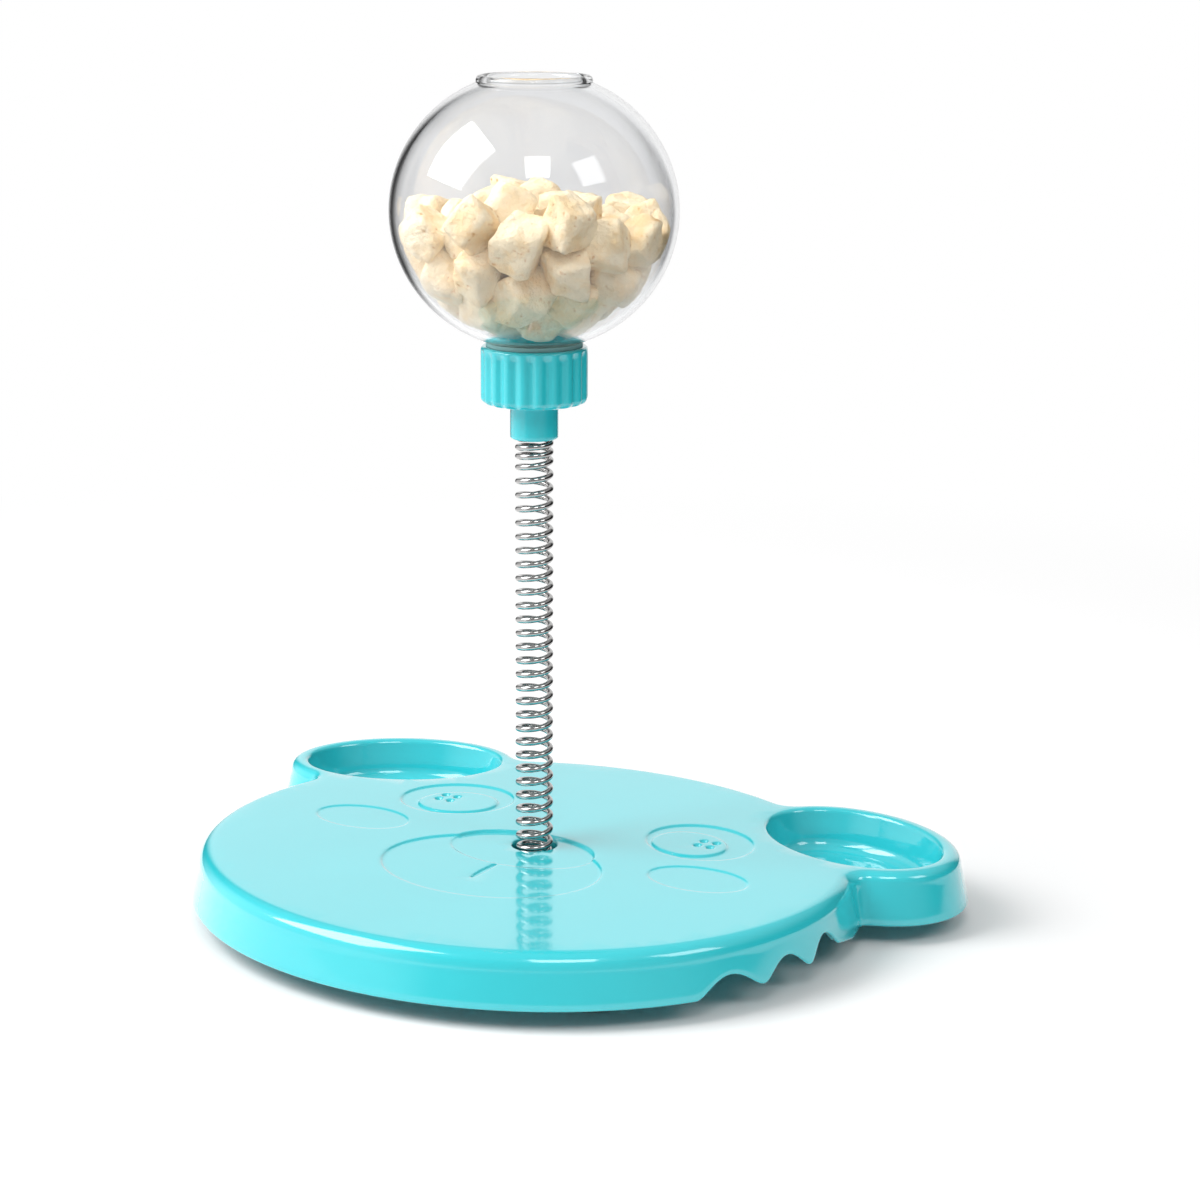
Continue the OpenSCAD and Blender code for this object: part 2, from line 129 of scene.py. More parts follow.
def showSurface(material, surface):  # puts a mix of shaders at the material's output
    tree = material.node_tree
    tree.links.new(surface.out, tree.nodes["Material Output"].inputs["Surface"])


def noise(at, scale, detail=3.0, roughness=0.5):
    sockets = {"Vector": at, "Scale": scale, "Detail": detail, "Roughness": roughness}
    return at.put("TexNoise", sockets)


def bump(height, strength, distance):
    return height.put("Bump", {"Strength": strength, "Distance": distance, "Height": height})


def shellMaterial(name, deep, bright):  # glossy moulded plastic with faint flow marks
    material, shader, at = startMaterial(name)
    marks = noise(at, scale=22.0, detail=4.0)
    grain = noise(at, scale=900.0, detail=2.0)
    sinks = noise(at, scale=60.0, detail=2.0)
    feed(at, shader,
         BaseColor=blendColour(spread(marks, 0.3, 0.7), deep, bright),
         Roughness=0.10 + 0.05 * marks + 0.02 * grain,
         IOR=1.5, CoatWeight=1.0, CoatRoughness=0.04,
         Normal=bump(sinks, strength=0.02, distance=0.001))
    return material


def steelMaterial(name, colour, rough):  # steel with fine drawing marks
    material, shader, at = startMaterial(name)
    marks = noise(at, scale=700.0)
    feed(at, shader, BaseColor=colour, Metallic=1.0, Roughness=rough + 0.06 * marks,
         Normal=bump(marks, strength=0.05, distance=0.0002))
    return material


def rubberMaterial(name, colour):
    material, shader, at = startMaterial(name)
    grain = noise(at, scale=1200.0, detail=2.0)
    feed(at, shader, BaseColor=colour, Roughness=0.55 + 0.2 * grain,
         Normal=bump(grain, strength=0.1, distance=0.0003))
    return material


def clearMaterial(name, colour, rough):  # clear plastic that lets lamp light through to what it holds
    material, shader, at = startMaterial(name)
    haze = noise(at, scale=40.0)
    feed(at, shader, BaseColor=colour, Roughness=rough + 0.01 * haze,
         IOR=1.47, TransmissionWeight=1.0)
    solid = Flow(material.node_tree, shader.outputs[0])
    clear = at.put("BsdfTransparent", {"Color": colour})
    shadow = at.put("LightPath", out="Is Shadow Ray")
    showSurface(material, at.put("MixShader", {0: shadow, 1: solid, 2: clear}))
    return material


def treatMaterial(name, pale, crumb, pore):  # freeze-dried cubes: cream crust, with pores in a darker tan that paints the shade in their pits
    material, shader, at = startMaterial(name)
    lumps = noise(at, scale=150.0, detail=6.0, roughness=0.62)
    # this noise both sinks the pores in the bump and marks where the darker pore colour paints their
    # shade
    poreShadeMask = noise(at, scale=520.0, detail=4.0, roughness=0.65)
    crust = blendColour(spread(lumps, 0.42, 0.68), pale, crumb)
    # the pore colour is tan with painted shade: it darkens the pits that the bump sinks
    feed(at, shader,
         BaseColor=blendColour(spread(poreShadeMask, 0.59, 0.75), crust, pore),
         Roughness=0.85 + 0.1 * lumps, SpecularIORLevel=0.2,
         Normal=bump(poreShadeMask * -0.8 + lumps, strength=0.8, distance=0.0014))
    return material


turquoise = shellMaterial("shellPlastic", (0.028, 0.560, 0.625, 1.0), (0.034, 0.585, 0.650, 1.0))
clearPlastic = clearMaterial("clearPlastic", (0.90, 0.905, 0.913, 1.0), 0.0)
springSteel = steelMaterial("springSteel", (0.47, 0.465, 0.46, 1.0), 0.06)
screwSteel = steelMaterial("screwSteel", (0.55, 0.55, 0.56, 1.0), 0.28)
footRubber = rubberMaterial("footRubber", (0.025, 0.026, 0.028, 1.0))
ringRubber = rubberMaterial("ringRubber", (0.22, 0.42, 0.42, 1.0))
# the last colour is the tan of the pores, darkened as painted shade of their pits
treatCrust = treatMaterial(
    "treatCrust", linear(253, 236, 204), linear(250, 220, 172), linear(214, 162, 102))


def smooth(share):  # soft step from 0 to 1
    return share * share * (3 - 2 * share)


def grid(rows, columns, wrapRows=False, wrapColumns=False):  # corners of the quads of a grid of points
    r = np.arange(rows if wrapRows else rows - 1)[:, None]
    c = np.arange(columns if wrapColumns else columns - 1)[None, :]
    r2, c2 = (r + 1) % rows, (c + 1) % columns
    corners = [r * columns + c, r2 * columns + c, r2 * columns + c2, r * columns + c2]
    return np.stack(np.broadcast_arrays(*corners), -1).reshape(-1, 4)


def gridCopies(points, wrapColumns):  # quads of several equal grids that lie in one array
    count, rows, columns = points.shape[:3]
    quads = grid(rows, columns, True, wrapColumns)
    return [quads + rows * columns * i for i in range(count)]


def newMesh(name, points, faces, sharp=None, weld=0.0):
    mesh = bpy.data.meshes.new(name)
    places = (points.reshape(-1, 3) * mm).tolist()
    lists = [part.tolist() for part in (faces if isinstance(faces, list) else [faces])]
    mesh.from_pydata(places, [], [corners for part in lists for corners in part])
    work = bmesh.new()
    work.from_mesh(mesh)
    if weld:
        bmesh.ops.remove_doubles(work, verts=work.verts, dist=weld * mm)
    bmesh.ops.recalc_face_normals(work, faces=work.faces)
    work.to_mesh(mesh)
    work.free()
    mesh.shade_smooth()
    if sharp:
        mesh.set_sharp_from_angle(angle=math.radians(sharp))
    obj = bpy.data.objects.new(name, mesh)
    bpy.context.scene.collection.objects.link(obj)
    return obj


def dress(obj, material, body, slotName, *nodes):
    obj.data.materials.append(material)
    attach(obj, body)
    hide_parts(*nodes)


def lathe(profile, turns, atX=axisX, atY=axisY, swell=None):
    # point(angle, step) = axis + radius(step) along the angle, plus a swelling that is a
    # function of angle, height and step
    angle = (np.arange(turns) * tau / turns)[:, None]
    radius = np.broadcast_to(profile[None, :, 0], (turns, len(profile))).copy()
    height = np.broadcast_to(profile[None, :, 1], radius.shape)
    if swell is not None:
        radius += swell(angle, height, np.arange(len(profile))[None, :])
    return np.stack([atX + radius * np.cos(angle), atY + radius * np.sin(angle), height], -1)


def turnedMesh(name, loop, sides, swell, sharp):  # closed profile turned round the axis
    quads = grid(sides, len(loop), True, True)
    return newMesh(name, lathe(loop, sides, swell=swell), quads, sharp=sharp)


def arc(cx, cy, radius, start, end, count):  # points of an arc in degrees, both ends included
    a = np.radians(np.linspace(start, end, count))
    return np.stack([cx + radius * np.cos(a), cy + radius * np.sin(a)], -1)


def column(radius, low, high, count):  # points of a straight, upright line of a profile
    return np.stack([np.full(count, radius), np.linspace(low, high, count)], -1)


def densify(points, step):  # closed loop of a profile with no gap longer than step
    following = np.roll(points, -1, 0)
    counts = np.maximum(np.ceil(np.hypot(*(following - points).T) / step), 1).astype(int)
    parts = [p + (q - p) * (np.arange(n) / n)[:, None] for p, q, n in zip(points, following, counts)]
    return np.concatenate(parts)


print("base skin")
base = dict(
    faceHalf=np.array([92.5, 83.4]), earAt=np.array([73.0, 52.4]), rim=4.6, lean=3.0,
    faceEdge=4.2, earEdge=3.0, earBlend=6.0, notch=2.5, lowRound=0.7, wall=2.2,
    bowlHalf=np.array([28.4, 19.4]), bowlTurn=math.radians(156), bowlDepth=11.0,
    bowlDraw=2.0, bowlFoot=4.0, lip=1.3, sideDraw=0.5, sideDeep=0.6, floorFrom=1.0, floorTo=0.2,
    scallopTips=[-31.0, -18.0, -7.0, 3.0, 9.0], scallopTipRise=[0.0, 0.8, 1.3, 2.0, 0.0],
    scallopRise=[4.6, 4.8, 5.2, 0.0], scallopTip=0.36,
    holeRadius=6.0, holeRound=0.6, holeDeep=3.0,
    # how finely the skin is divided
    step=0.7, rays=40000, halvings=36, nearest=60.0, farthest=140.0,
    roundSteps=4, wallSteps=7, edgeSteps=9, footSteps=8, floorSteps=4,
    bowlSides=180, holeSides=72, weld=0.004,
)
wallHigh = deckZ - lowZ


def ovalGap(x, y, at, half, turn):  # distance to an oval, negative inside it, exact close to it
    c, s = math.cos(turn), math.sin(turn)
    u = (x - at[0]) * c + (y - at[1]) * s
    v = (y - at[1]) * c - (x - at[0]) * s
    k0 = np.hypot(u / half[0], v / half[1])
    k1 = np.hypot(u / half[0] ** 2, v / half[1] ** 2)
    return k0 * (k0 - 1) / np.maximum(k1, 1e-9)


def softLeast(a, b, reach):  # the lesser of two distances, rounded where they are close
    h = np.clip(reach - np.abs(a - b), 0, None)
    return np.minimum(a, b) - h * h / (4 * reach)


def baseGaps(x, y):
    earHalf = base["bowlHalf"] + base["rim"] + base["lean"]
    face = ovalGap(x, y, (0, 0), base["faceHalf"], 0)
    right = ovalGap(x, y, base["earAt"], earHalf, base["bowlTurn"])
    left = ovalGap(-x, y, base["earAt"], earHalf, base["bowlTurn"])
    return face, np.minimum(left, right)


def baseOutline():  # edge of the joined ovals along each ray, evened out along its length
    ray = np.linspace(0, tau, base["rays"], endpoint=False) - math.pi / 2
    low, high = np.full(ray.shape, base["nearest"]), np.full(ray.shape, base["farthest"])
    for _ in range(base["halvings"]):
        middle = (low + high) / 2
        face, ears = baseGaps(middle * np.cos(ray), middle * np.sin(ray))
        inside = softLeast(face, ears, base["notch"]) < 0
        low, high = np.where(inside, middle, low), np.where(inside, high, middle)
    loop = np.stack([low * np.cos(ray), low * np.sin(ray)], -1)
    loop = np.concatenate([loop, loop[:1]])
    run = np.concatenate([[0], np.cumsum(np.hypot(*np.diff(loop, axis=0).T))])
    count = int(run[-1] / base["step"])
    at = np.arange(count) * run[-1] / count
    return np.stack([np.interp(at, run, loop[:, 0]), np.interp(at, run, loop[:, 1])], -1)


outline = baseOutline()
along = np.roll(outline, -1, 0) - np.roll(outline, 1, 0)
along /= np.hypot(*along.T)[:, None]
outward = np.stack([along[:, 1], -along[:, 0]], -1)
faceGap, earGap = baseGaps(outline[:, 0], outline[:, 1])
onEar = smooth(np.clip((faceGap - earGap) / base["earBlend"] + 0.5, 0, 1))
edgeRadius = (base["faceEdge"] + (base["earEdge"] - base["faceEdge"]) * onEar)[:, None]

# scallops: between two tips the lower edge rises as a half wave, rounded off at the tips
bearing = np.degrees(np.arctan2(outline[:, 1], np.abs(outline[:, 0])))
phase = np.interp(bearing, base["scallopTips"], np.arange(len(base["scallopTips"])))
wave = np.abs(np.sin(math.pi * phase))
tip = base["scallopTip"]
wave = (np.sqrt(wave ** 2 + tip ** 2) - tip) / (math.sqrt(1 + tip ** 2) - tip)
arch = np.minimum(phase.astype(int), len(base["scallopRise"]) - 1)
archRise = np.array(base["scallopRise"])[arch]
tipRise = np.interp(bearing, base["scallopTips"], base["scallopTipRise"])
lift = (tipRise + archRise * wave)[:, None] * (onEar[:, None] < 0.5)

# wall point(place, step) = outline moved inwards by the lean and the rounded edges, where the
# lower edge starts at the scallop's lift
roundAngle = np.radians(np.linspace(0, 90, base["roundSteps"]))
roundAcross, roundAlong = 1 - np.sin(roundAngle), 1 - np.cos(roundAngle)
edgeAngle = np.radians(np.linspace(0, 90, base["edgeSteps"]))[None, 1:]
share = np.linspace(0, 1, base["wallSteps"])[None, 1:]
straightTop = wallHigh - edgeRadius
lowPart = lift + base["lowRound"] * roundAlong
midPart = lowPart[:, -1:] + (straightTop - lowPart[:, -1:]) * share
leanAt = base["lean"] / wallHigh
rise = np.concatenate([lowPart, midPart, straightTop + edgeRadius * np.sin(edgeAngle)], 1)
inset = np.concatenate([
    leanAt * lowPart + base["lowRound"] * roundAcross, leanAt * midPart,
    leanAt * straightTop + edgeRadius * (1 - np.cos(edgeAngle))], 1)
wallFlat = outline[:, None, :] - outward[:, None, :] * inset[..., None]
wallPoints = np.concatenate([wallFlat, (lowZ + rise)[..., None]], -1)
deckLoop = wallFlat[:, -1, :]


def ovalLoop(at, half, turn, count, mirrored=False):
    a = np.arange(count) * tau / count
    u, v = half[0] * np.cos(a), half[1] * np.sin(a)
    c, s = math.cos(turn), math.sin(turn)
    loop = np.stack([at[0] + u * c - v * s, at[1] + u * s + v * c], -1)
    return loop * [-1, 1] if mirrored else loop


# bowl point(angle, step) = oval grown by the step's offset, at the step's depth
foot, depth, draw = base["bowlFoot"], base["bowlDepth"], base["bowlDraw"]
floorGrow = np.linspace(-draw - foot - base["floorFrom"],
                        -base["bowlHalf"][1] + base["floorTo"], base["floorSteps"])
bowlSide = np.concatenate([
    np.stack([base["lip"] * roundAcross, -base["lip"] * roundAlong], -1),
    [[-draw * base["sideDraw"], -(depth - foot) * base["sideDeep"]]],
    arc(-draw - foot, -depth + foot, foot, 0, -90, base["footSteps"]),
    np.stack([floorGrow, np.full(base["floorSteps"], -depth)], -1),
])
bowlSides = base["bowlSides"]


def bowlPoints(mirrored):
    loops = [ovalLoop(base["earAt"], base["bowlHalf"] + grow, base["bowlTurn"], bowlSides, mirrored)
             for grow in bowlSide[:, 0]]
    heights = (deckZ + bowlSide[:, 1])[None, :, None]
    heights = np.broadcast_to(heights, (bowlSides, len(bowlSide), 1))
    return np.concatenate([np.stack(loops, 1), heights], -1)


bowls = [bowlPoints(False), bowlPoints(True)]
holeWide = base["holeRadius"] + base["holeRound"] * roundAcross
holeProfile = np.concatenate([
    np.stack([holeWide, deckZ - base["holeRound"] * roundAlong], -1),
    [[base["holeRadius"], deckZ - base["holeDeep"]]]])
holePoints = lathe(holeProfile, base["holeSides"])

face = dict(  # each oval: centre, half sizes, turn and depth
    stepHalf=0.45,
    muzzle=((0, -17.5), (30.8, 24.0), 0.0, -0.45),
    nose=((0, -1.5), (21.0, 13.0), 0.0, -0.72),
    mouth=((0, -21.0), (0.75, 6.6), 0.0, -0.45),
    cheek=((52.6, 0), (14.0, 9.0), 0.0, -0.28),
    eye=((38.8, 27.5), (16.0, 13.6), math.radians(157), -0.45),
    button=((36.9, 24.9), (11.2, 9.4), math.radians(157), 0.5),
    holesAt=(41.4, 26.6), holesApart=2.7, holesTurn=45, holeCount=4, hole=1.0, holeDeep=-0.7,
    # rings of points on both sides of each step, and loose points between them
    beside=np.array([-1.2, -0.45, -0.2, 0.0, 0.2, 0.45, 1.2]), smallOval=2.0, smallBeside=0.7,
    ringStep=1.5, ringLeast=14, spotReach=(105, 80), spotStep=5.0, spotStray=1.0,
    offHole=0.3, sameWithin=1e-5,
)
holeTurns = np.radians(face["holesTurn"] + 360 / face["holeCount"] * np.arange(face["holeCount"]))
holeRays = np.stack([np.cos(holeTurns), np.sin(holeTurns)], -1)
holeCentres = (face["holesAt"] + face["holesApart"] * holeRays).tolist()
holeSteps = [(at, (face["hole"],) * 2, 0.0, face["holeDeep"]) for at in holeCentres]
middleSteps = [face["muzzle"], face["nose"], face["mouth"]]
sideSteps = [face["eye"], face["button"], face["cheek"]] + holeSteps


def relief(x, y):
    # height of the deck's face: each oval sinks or lifts its inside by a soft step, and the nose
    # has one depth of its own, so that no line of the muzzle crosses it
    def inside(px, shape):
        at, half, turn, deep = shape
        gap = ovalGap(px, y, at, half, turn)
        return deep * smooth(np.clip(0.5 - gap / (2 * face["stepHalf"]), 0, 1))
    nose = inside(x, face["nose"])
    offNose = 1 - nose / face["nose"][3]
    middle = nose + (inside(x, face["muzzle"]) + inside(x, face["mouth"])) * offNose
    return middle + sum(inside(np.abs(x), shape) for shape in sideSteps)


holeEdge = holePoints[:, :1]
holePoints[..., 2] += relief(holeEdge[..., 0], holeEdge[..., 1])  # the hole's edge follows the face
openings = [bowls[0][:, 0, :2], bowls[1][:, 0, :2], holePoints[:, 0, :2]]
deckRings = [deckLoop] + openings
steps = [(shape, (False,)) for shape in middleSteps]
steps += [(shape, (False, True)) for shape in sideSteps]
for (at, half, turn, _), mirrors in steps:
    half = np.array(half)
    count = max(int(tau * half.mean() / face["ringStep"]), face["ringLeast"])
    for off in face["beside"] * (1.0 if half[0] > face["smallOval"] else face["smallBeside"]):
        deckRings += [ovalLoop(at, half + off, turn, count, mirrored) for mirrored in mirrors]
spotLines = [np.arange(-reach, reach + 1, face["spotStep"]) for reach in face["spotReach"]]
spots = np.stack(np.meshgrid(*spotLines), -1).reshape(-1, 2)
spots = spots + rng.uniform(-face["spotStray"], face["spotStray"], spots.shape)
flat = np.concatenate(deckRings + [spots])
starts = np.cumsum([0] + [len(ring) for ring in deckRings])


def ringEdges(count, first):  # pairs of neighbours round a closed ring of points
    here = np.arange(count)
    return np.stack([here, (here + 1) % count], -1) + first


# the hole's own ring is kept whole, and no other line crosses the hole
edges = np.concatenate([ringEdges(len(ring), first) for ring, first in zip(deckRings, starts)])
holeReach = base["holeRadius"] + base["holeRound"] + face["offHole"]
clearOfHole = np.hypot(flat[:, 0] - axisX, flat[:, 1] - axisY) > holeReach
ofHole = (edges >= starts[len(openings)]) & (edges < starts[len(openings) + 1])
edges = edges[clearOfHole[edges].all(1) | ofHole.all(1)]
flatList = [Vector(p) for p in flat.tolist()]
found = delaunay_2d_cdt(flatList, edges.tolist(), [], 0, face["sameWithin"])
deckFlat = np.array([tuple(p) for p in found[0]])
deckFaces = np.array(found[2])


def within(points, ring):  # which points lie inside a closed ring, by counting crossings
    a, b = ring[None, :, :], np.roll(ring, -1, 0)[None, :, :]
    px, py = points[:, None, 0], points[:, None, 1]
    crosses = (a[..., 1] > py) != (b[..., 1] > py)
    climb = np.where(crosses, b[..., 1] - a[..., 1], 1)
    cut = a[..., 0] + (py - a[..., 1]) / climb * (b[..., 0] - a[..., 0])
    return ((crosses & (px < cut)).sum(1) % 2).astype(bool)


centres = deckFlat[deckFaces].mean(1)
keep = within(centres, deckLoop)
for ring in openings:
    keep &= ~within(centres, ring)
deckHeights = deckZ + relief(deckFlat[:, 0], deckFlat[:, 1])
deckPoints = np.concatenate([deckFlat, deckHeights[:, None]], -1)

parts = [wallPoints] + bowls + [holePoints]
wraps = [grid(p.shape[0], p.shape[1], True) for p in parts]
offsets = np.cumsum([0] + [p.shape[0] * p.shape[1] for p in parts])
bowlFloor = np.arange(bowlSides) * len(bowlSide) + len(bowlSide) - 1
faces = [quads + first for quads, first in zip(wraps, offsets)]
faces += [deckFaces[keep] + offsets[-1]]
faces += [(bowlFloor + first)[None, :] for first in offsets[1:3]]
points = np.concatenate([p.reshape(-1, 3) for p in parts] + [deckPoints])
skin = newMesh("baseSkin", points, faces, weld=base["weld"])
level, large = 0.99, 4e-6  # the large level faces are those of the deck and the bowls: they look up
tops = [p.normal.z for p in skin.data.polygons if abs(p.normal.z) > level and p.area > large]
if sum(tops) < 0:
    skin.data.flip_normals()
thick = skin.modifiers.new("wall", "SOLIDIFY")
thick.thickness = base["wall"] * mm
thick.offset = -1.0
dress(skin, turquoise, "base", "shell_plastic", "base_shell")

print("posts under the deck")
posts = dict(
    footAt=[(48, -47.1), (36, 57.1)], footOut=4.9, footIn=2.62, bossOut=8.0,
    screwAt=10.6, screwTurns=[90, 210, 330], screwOut=3.0, screwIn=1.2,
    plateTop=8.5, overlap=0.4, chamfer=0.2, sides=40, sharp=40,
)
under = deckZ - base["wall"] + posts["overlap"]


def tube(x, y, inner, outer, low):  # upright tube that ends inside the deck
    edge = posts["chamfer"]
    loop = [[inner, low], [outer - edge, low], [outer, low + edge], [outer, under], [inner, under]]
    return lathe(np.array(loop), posts["sides"], atX=x, atY=y)


postParts = [tube(side * x, y, posts["footIn"], posts["footOut"], lowZ)
             for x, y in posts["footAt"] for side in (1, -1)]
postParts += [tube(axisX, axisY, base["holeRadius"], posts["bossOut"], posts["plateTop"])]
for a in np.radians(posts["screwTurns"]):
    screwX, screwY = axisX + posts["screwAt"] * math.cos(a), axisY + posts["screwAt"] * math.sin(a)
    postParts += [tube(screwX, screwY, posts["screwIn"], posts["screwOut"], posts["plateTop"])]
postPoints = np.stack(postParts)
postObj = newMesh("basePosts", postPoints, gridCopies(postPoints, True), sharp=posts["sharp"])
dress(postObj, turquoise, "base", "shell_plastic", "base_shell")

print("spring")
spring = dict(
    wire=1.65, lowTurns=4, topTurns=6, endPitch=2.4, pitch=3.75,
    perTurn=48, sides=14, samples=4000, sharp=60,
)
meanRadius = (coilHigh[0] - coilLow[0] - spring["wire"]) / 2
coilStart = coilLow[2] + spring["wire"] / 2
coilEnd = coilHigh[2] - spring["wire"] / 2
sleeveZ = capLow[2]
endRise = (spring["lowTurns"] + spring["topTurns"]) * spring["endPitch"]
openTurns = (coilEnd - coilStart - endRise) / spring["pitch"]
allTurns = spring["lowTurns"] + openTurns + spring["topTurns"]
halfWay = (deckZ + sleeveZ) / 2


def coilHeight(t):  # height of the wire after t turns, closer at both ends
    low = np.minimum(t, spring["lowTurns"])
    middle = np.clip(t - spring["lowTurns"], 0, openTurns)
    top = np.maximum(t - spring["lowTurns"] - openTurns, 0)
    return coilStart + (low + top) * spring["endPitch"] + middle * spring["pitch"]


def coilPiece(name, first, last):
    # point(turn, side) = helix(turn) + wire radius round the outward and upward directions of the helix
    t = np.linspace(first, last, int((last - first) * spring["perTurn"]) + 1)
    out = np.stack([np.cos(tau * t), np.sin(tau * t), 0 * t], -1)
    centre = meanRadius * out + np.stack([0 * t + axisX, 0 * t + axisY, coilHeight(t)], -1)
    run = np.gradient(centre, axis=0)
    run /= np.linalg.norm(run, axis=1)[:, None]
    lifted = np.cross(out, run)
    side = np.arange(spring["sides"])
    a = (side * tau / spring["sides"])[None, :, None]
    ringPoints = np.cos(a) * out[:, None] + np.sin(a) * lifted[:, None]
    tubePoints = centre[:, None] + spring["wire"] / 2 * ringPoints
    quads = grid(len(t), len(side), False, True)
    ends = [(side + row * len(side))[None, :] for row in (0, len(t) - 1)]
    return newMesh(name, tubePoints, [quads] + ends, sharp=spring["sharp"])


turnList = np.linspace(0, allTurns, spring["samples"])
middleTurn = float(np.interp(halfWay, coilHeight(turnList), turnList))
axisPoint = [Vector((axisX, axisY, z)) * mm for z in (deckZ, halfWay, sleeveZ)]
for name, first, last, bodies, ends in (
        ("springLower", 0, middleTurn, ("base", "spring"), axisPoint[:2]),
        ("springUpper", middleTurn, allTurns, ("spring", "head"), axisPoint[1:])):
    coil = coilPiece(name, first, last)
    coil.data.materials.append(springSteel)
    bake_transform(coil)
    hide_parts("coil_spring")

print("cap")
cap = dict(
    radius=14.0, floor=2.4, bore=11.9, hole=2.98, sleeve=6.35, sleeveBore=5.35, sleeveHigh=9.5,
    lowEdge=1.6, topEdge=0.9, rimEdge=0.5, sleeveEdge=0.6, fillet=0.8, chamfer=0.2,
    ribs=20, ribDeep=0.8, ribBlunt=1.3, ribFrom=0.3, ribOver=1.6,
    fadeFrom=0.3, fadeOver=1.8, fadeUnder=0.1, step=0.9, sides=320, sharp=50,
)
capZ = capLow[2] + cap["sleeveHigh"]
capTop = capHigh[2]
floorZ = capZ + cap["floor"]
capRounds = [  # corner, side of it where the centre lies, radius, start and end in degrees, points
    (cap["sleeve"], sleeveZ, -1, 1, cap["sleeveEdge"], -90, 0, 5),
    (cap["sleeve"], capZ, 1, -1, cap["fillet"], 180, 90, 5),
    (cap["radius"], capZ, -1, 1, cap["lowEdge"], -90, 0, 8),
    (cap["radius"], capTop, -1, -1, cap["topEdge"], 0, 90, 7),
    (cap["bore"], capTop, 1, -1, cap["rimEdge"], 90, 180, 5),
]
capLoop = [arc(x + toX * radius, z + toZ * radius, radius, start, end, count)
           for x, z, toX, toZ, radius, start, end, count in capRounds]
capLoop += [[
    [cap["bore"], floorZ], [cap["hole"], floorZ], [cap["hole"], capZ], [cap["sleeveBore"], capZ],
    [cap["sleeveBore"], sleeveZ + cap["chamfer"]], [cap["sleeveBore"] + cap["chamfer"], sleeveZ]]]
capLoop = densify(np.concatenate(capLoop), cap["step"])


def ribSwell(angle, height, step):  # grooves between the ribs, which run out in the top edge
    outside = np.clip((capLoop[step, 0] - cap["bore"] - cap["ribFrom"]) / cap["ribOver"], 0, 1)
    fade = smooth(np.clip((capTop - cap["fadeFrom"] - height) / cap["fadeOver"], 0, 1))
    groove = ((1 - np.cos(cap["ribs"] * angle)) / 2) ** cap["ribBlunt"]
    return -cap["ribDeep"] * groove * outside * fade * (height > capZ - cap["fadeUnder"])


capObj = turnedMesh("capShell", capLoop, cap["sides"], ribSwell, cap["sharp"])
dress(capObj, turquoise, "head", "shell_plastic", "screw_cap")

print("ball")
ball = dict(
    halfWide=37.5, halfHigh=35.75, wall=1.6, shoulder=12.4,
    neck=10.6, neckHigh=13.1, neckEdge=0.4, neckTop=0.5, shoulderFillet=[(0.2, -0.1), (0.8, 0.0)],
    neckBore=9.0, boreEdge=0.3, boreTop=0.968, boreFlare=1.0,
    lipMid=13.7, lip=1.3, lipOut=0.95, lipIn=0.2, lipTurn=(-5, 200),
    thread=0.95, threadPitch=4.0, threadTurns=1.5, threadWide=1.5, threadSteep=1.4, threadStart=1.6,
    arcSteps=120, neckSteps=44, boreSteps=10, lipSteps=18, sides=220, sharp=60,
)
shoulderZ = neckLow + ball["neckHigh"]
ballZ = shoulderZ + ball["halfHigh"] * math.sqrt(1 - (ball["shoulder"] / ball["halfWide"]) ** 2)
lipZ = ballZ + ball["halfHigh"] * math.sqrt(1 - (ball["lipMid"] / ball["halfWide"]) ** 2)
innerWide, innerHigh = ball["halfWide"] - ball["wall"], ball["halfHigh"] - ball["wall"]


def ovalArc(halfWide, halfHigh, startRadius, endRadius):
    start, end = -math.acos(startRadius / halfWide), math.acos(endRadius / halfWide)
    a = np.linspace(start, end, ball["arcSteps"])
    return np.stack([halfWide * np.cos(a), ballZ + halfHigh * np.sin(a)], -1)


lipOuter = ball["lipMid"] + ball["lip"] * ball["lipOut"]
outerArc = ovalArc(ball["halfWide"], ball["halfHigh"], ball["shoulder"], lipOuter)
lipInner, boreOuter = ball["lipMid"] + ball["lipIn"], ball["neckBore"] + ball["boreFlare"]
innerArc = ovalArc(innerWide, innerHigh, boreOuter, lipInner)[::-1]
neckFoot = [[ball["neckBore"] + ball["boreEdge"], neckLow], [ball["neck"] - ball["neckEdge"], neckLow]]
neckRows = column(
    ball["neck"], neckLow + ball["neckEdge"], shoulderZ - ball["neckTop"], ball["neckSteps"])
boreRows = column(
    ball["neckBore"], ballZ - innerHigh * ball["boreTop"], neckLow + ball["boreEdge"], ball["boreSteps"])
ballLoop = np.concatenate([
    neckFoot, neckRows, [[ball["neck"] + out, shoulderZ + up] for out, up in ball["shoulderFillet"]],
    outerArc, arc(ball["lipMid"], lipZ, ball["lip"], *ball["lipTurn"], ball["lipSteps"]),
    innerArc, boreRows])


def threadSwell(angle, height, step):  # one ridge that climbs round the outside of the neck
    start = neckLow + ball["threadStart"]
    turn = np.round((height - start) / ball["threadPitch"] - angle / tau) + angle / tau
    turn = np.clip(turn, 0, ball["threadTurns"])
    away = np.abs(height - start - turn * ball["threadPitch"])
    crest = np.clip(1 - (away / ball["threadWide"] * ball["threadSteep"]) ** 2, 0, 1)
    onNeck = (step >= len(neckFoot)) & (step < len(neckFoot) + len(neckRows))
    return ball["thread"] * crest * onNeck


ballObj = turnedMesh("clearBall", ballLoop, ball["sides"], threadSwell, ball["sharp"])
dress(ballObj, clearPlastic, "ball", "clear_plastic", "treat_ball")

print("treats in the ball")
treats = dict(
    count=60, half=(5.2, 7.0), clear=0.5, lid=1.0,
    startReach=0.6, startLow=8, rounds=600, sink=0.10, push=0.25,
    skew=0.13, sideFar=(0.72, 0.98), cuts=5, cutFar=(0.92, 1.25), crisp=15,
    waveLengths=[3.0, 7.0], waveDepths=[0.020, 0.012], wavesEach=6,
    around=40, up=25, weld=0.001,
)
treatRoom = np.array([innerWide, innerWide, innerHigh]) - treats["clear"]


